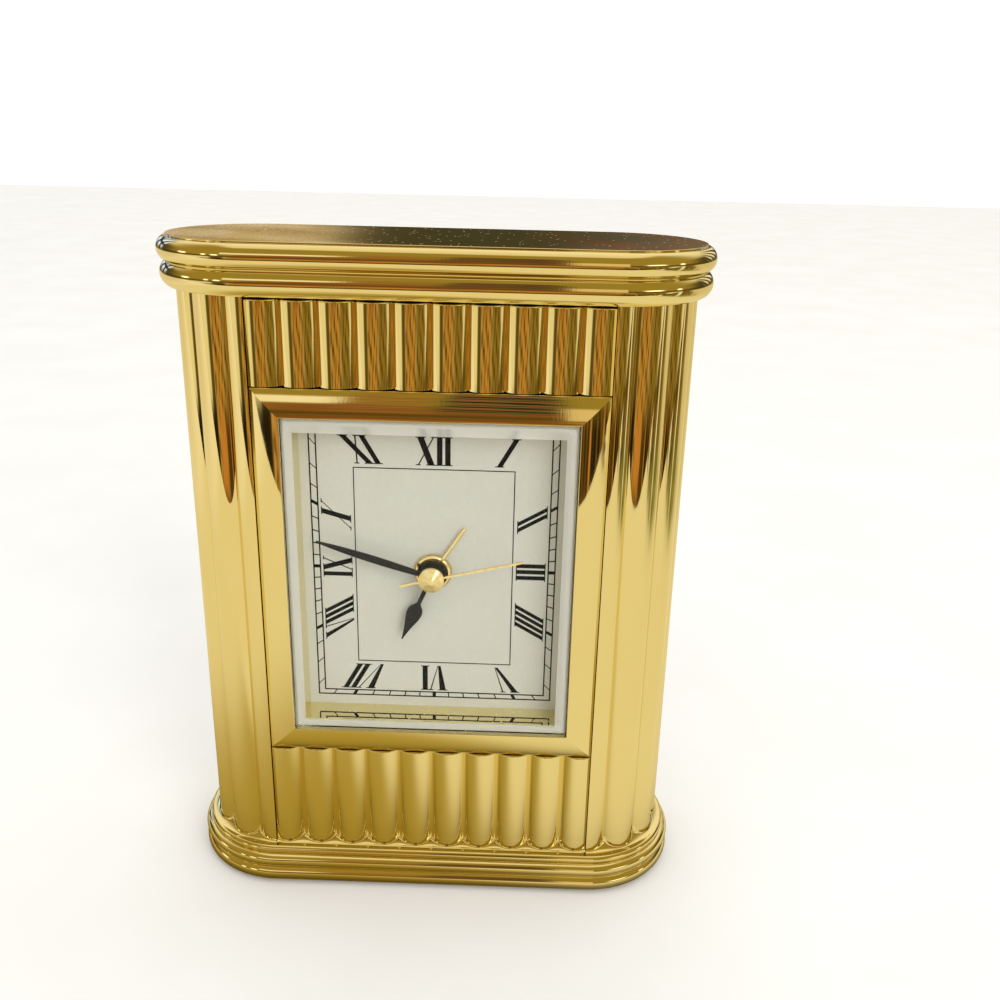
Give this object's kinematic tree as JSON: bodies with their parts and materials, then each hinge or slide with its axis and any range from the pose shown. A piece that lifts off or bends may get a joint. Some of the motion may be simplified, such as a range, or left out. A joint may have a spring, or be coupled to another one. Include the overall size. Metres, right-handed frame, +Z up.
{
  "type": "desk alarm clock",
  "caption": "Brass desk alarm clock with reeded half-round ends, a mitred bezel round a bevelled crystal, a Roman dial, and a battery movement set by knobs at the back.",
  "frame": {"origin": "on the surface the clock stands on, under the middle of the base", "axes": "+Z up, dial faces -Y, +X to the right as the dial is read"},
  "size_m": [0.106, 0.039, 0.1359],
  "materials": {
    "polished_brass": "polished and lacquered, worn in places",
    "crystal_glass": "clear, bevelled border",
    "dial_lacquer": "matt grey white with dark print",
    "black_lacquer": "satin black",
    "gilt_brass": "gilt, semi bright",
    "black_plastic": "fine moulded texture",
    "wheel_plastic": "natural acetal",
    "steel": "plain zinc plated",
    "green_felt": "short felt",
    "enamelled_copper": "clear enamel over copper",
    "ferrite": "ground",
    "board_laminate": "brown laminate",
    "black_epoxy": "cast drop",
    "nickel": "nickel plated",
    "cell_jacket": "plain printed jacket"
  },
  "bodies": {
    "case": {"top_cap": "polished_brass", "left_column": "polished_brass", "right_column": "polished_brass", "base_plinth": "polished_brass", "upper_panel": "polished_brass", "lower_panel": "polished_brass", "bezel": "polished_brass", "crystal": "crystal_glass", "dial": "dial_lacquer", "buzzer": "gilt_brass", "back_cover": "black_plastic", "chassis": "black_plastic", "dial_frame": "black_plastic", "movement_front": "black_plastic", "movement_rear": "black_plastic", "middle_plate": "wheel_plastic", "coil_bobbin": "wheel_plastic", "tie_rods": "steel", "base_plate": "steel", "panel_clips": "steel", "bezel_screws": "steel", "movement_screws": "steel", "back_cover_screws": "steel", "stator": "steel", "base_felt": "green_felt", "coil_winding": "enamelled_copper", "circuit_board": "board_laminate", "timing_chip": "black_epoxy", "quartz_can": "nickel", "positive_contact": "nickel", "negative_contact": "nickel", "battery": "cell_jacket"},
    "seconds": {"second_wheel": "wheel_plastic", "second_hand": "gilt_brass"},
    "fifth": {"fifth_wheel": "wheel_plastic"},
    "motor": {"rotor": "wheel_plastic", "rotor_magnet": "ferrite"},
    "third": {"third_wheel": "wheel_plastic"},
    "centre": {"centre_wheel": "wheel_plastic"},
    "minutes": {"cannon_pinion": "gilt_brass", "minute_hand": "black_lacquer"},
    "time_setter": {"motion_wheel": "wheel_plastic", "time_set_knob": "polished_brass"},
    "hours": {"hour_wheel": "wheel_plastic", "hour_hand": "black_lacquer"},
    "alarm": {"alarm_wheel": "wheel_plastic", "alarm_hand": "gilt_brass"},
    "alarm_setter": {"alarm_arbor": "wheel_plastic", "alarm_set_knob": "polished_brass"},
    "alarm_slider": {"alarm_switch": "black_plastic"},
    "door": {"battery_door": "black_plastic"}
  },
  "joints": [
    {"name": "second_turn", "type": "hinge", "parent": "case", "child": "seconds", "pos_m": [0, 0, 0.07095], "axis": [0, 1, 0], "continuous": true},
    {"name": "fifth_turn", "type": "hinge", "parent": "case", "child": "fifth", "pos_m": [-0.00737, 0, 0.06579], "axis": [0, 1, 0], "continuous": true},
    {"name": "motor_turn", "type": "hinge", "parent": "case", "child": "motor", "pos_m": [-0.01395, 0, 0.06339], "axis": [0, 1, 0], "continuous": true},
    {"name": "third_turn", "type": "hinge", "parent": "case", "child": "third", "pos_m": [0, 0, 0.07995], "axis": [0, 1, 0], "continuous": true},
    {"name": "centre_turn", "type": "hinge", "parent": "case", "child": "centre", "pos_m": [0, 0, 0.07095], "axis": [0, 1, 0], "continuous": true},
    {"name": "minute_turn", "type": "hinge", "parent": "case", "child": "minutes", "pos_m": [0, 0, 0.07095], "axis": [0, 1, 0], "continuous": true},
    {"name": "time_set_turn", "type": "hinge", "parent": "case", "child": "time_setter", "pos_m": [0.0095, 0, 0.07095], "axis": [0, 1, 0], "continuous": true},
    {"name": "hour_turn", "type": "hinge", "parent": "case", "child": "hours", "pos_m": [0, 0, 0.07095], "axis": [0, 1, 0], "continuous": true},
    {"name": "alarm_turn", "type": "hinge", "parent": "case", "child": "alarm", "pos_m": [0, 0, 0.07095], "axis": [0, 1, 0], "continuous": true},
    {"name": "alarm_set_turn", "type": "hinge", "parent": "case", "child": "alarm_setter", "pos_m": [-0.00909, 0, 0.0762], "axis": [0, 1, 0], "continuous": true},
    {"name": "alarm_switch_slide", "type": "slide", "parent": "case", "child": "alarm_slider", "axis": [1, 0, 0], "range_m": [0, 0.004]},
    {"name": "battery_door_lift", "type": "slide", "parent": "case", "child": "door", "axis": [0, 1, 0], "range_m": [0, 0.015]}
  ],
  "couplings": [
    {"joint": "fifth_turn", "follows": "second_turn", "ratio": -5},
    {"joint": "motor_turn", "follows": "second_turn", "ratio": 30},
    {"joint": "third_turn", "follows": "second_turn", "ratio": -0.125},
    {"joint": "centre_turn", "follows": "second_turn", "ratio": 0.016667},
    {"joint": "time_set_turn", "follows": "minute_turn", "ratio": -0.33333},
    {"joint": "hour_turn", "follows": "minute_turn", "ratio": 0.083333},
    {"joint": "alarm_set_turn", "follows": "alarm_turn", "ratio": -4}
  ]
}
